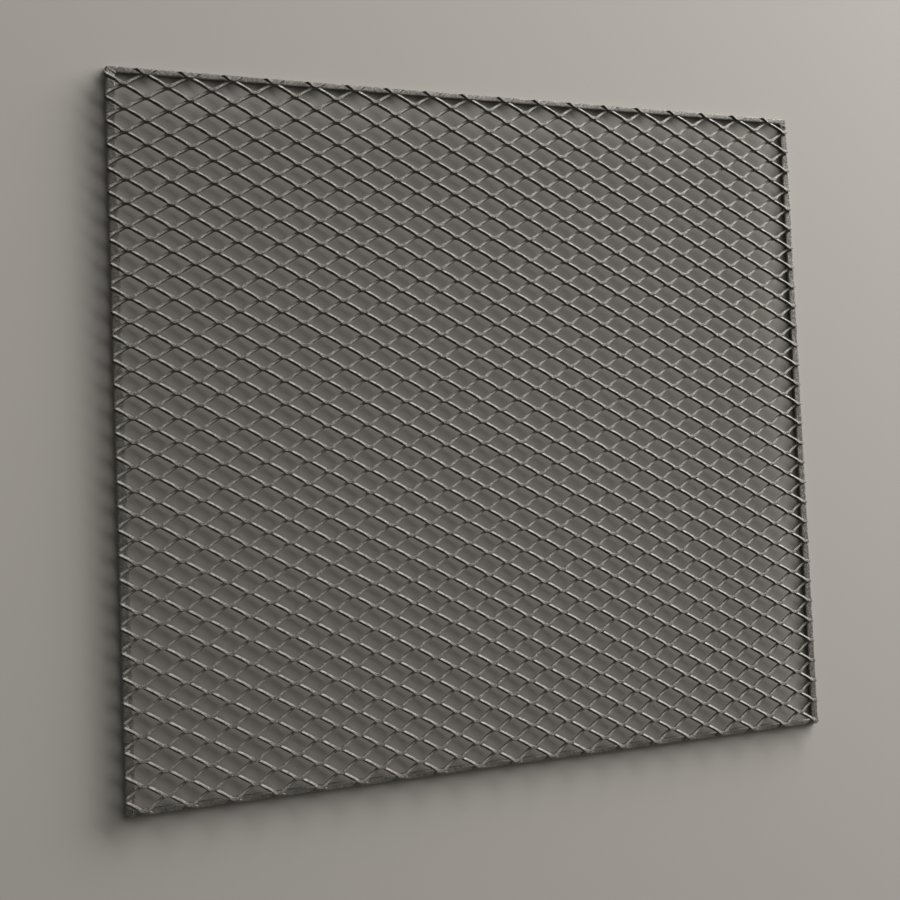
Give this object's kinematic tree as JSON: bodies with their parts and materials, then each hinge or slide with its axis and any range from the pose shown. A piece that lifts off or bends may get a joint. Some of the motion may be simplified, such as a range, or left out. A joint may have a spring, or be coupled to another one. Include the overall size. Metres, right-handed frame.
{
  "type": "expanded metal sheet",
  "caption": "Framed sheet of raised expanded steel mesh: slit and stretched diamond strands on a border of flat bars.",
  "frame": {"origin": "on the underside of the border bars, below the middle of the panel", "axes": "+X along the long way of the diamonds, +Y along their short way towards the top bar, +Z out of the front face, which carries the mesh"},
  "size_m": [0.916, 0.838, 0.0146],
  "materials": {
    "mesh_steel": "raw expanded plate, dull dark grey with a gritty mill skin, paler on the sheared edges",
    "bar_steel": "hot-rolled flat bar, dull dark grey and rough"
  },
  "bodies": {
    "root": {"mesh_band_1": "mesh_steel", "mesh_band_2": "mesh_steel", "mesh_band_3": "mesh_steel", "mesh_band_4": "mesh_steel", "frame_bar_top": "bar_steel", "frame_bar_bottom": "bar_steel", "frame_bar_left": "bar_steel", "frame_bar_right": "bar_steel"}
  },
  "joints": []
}
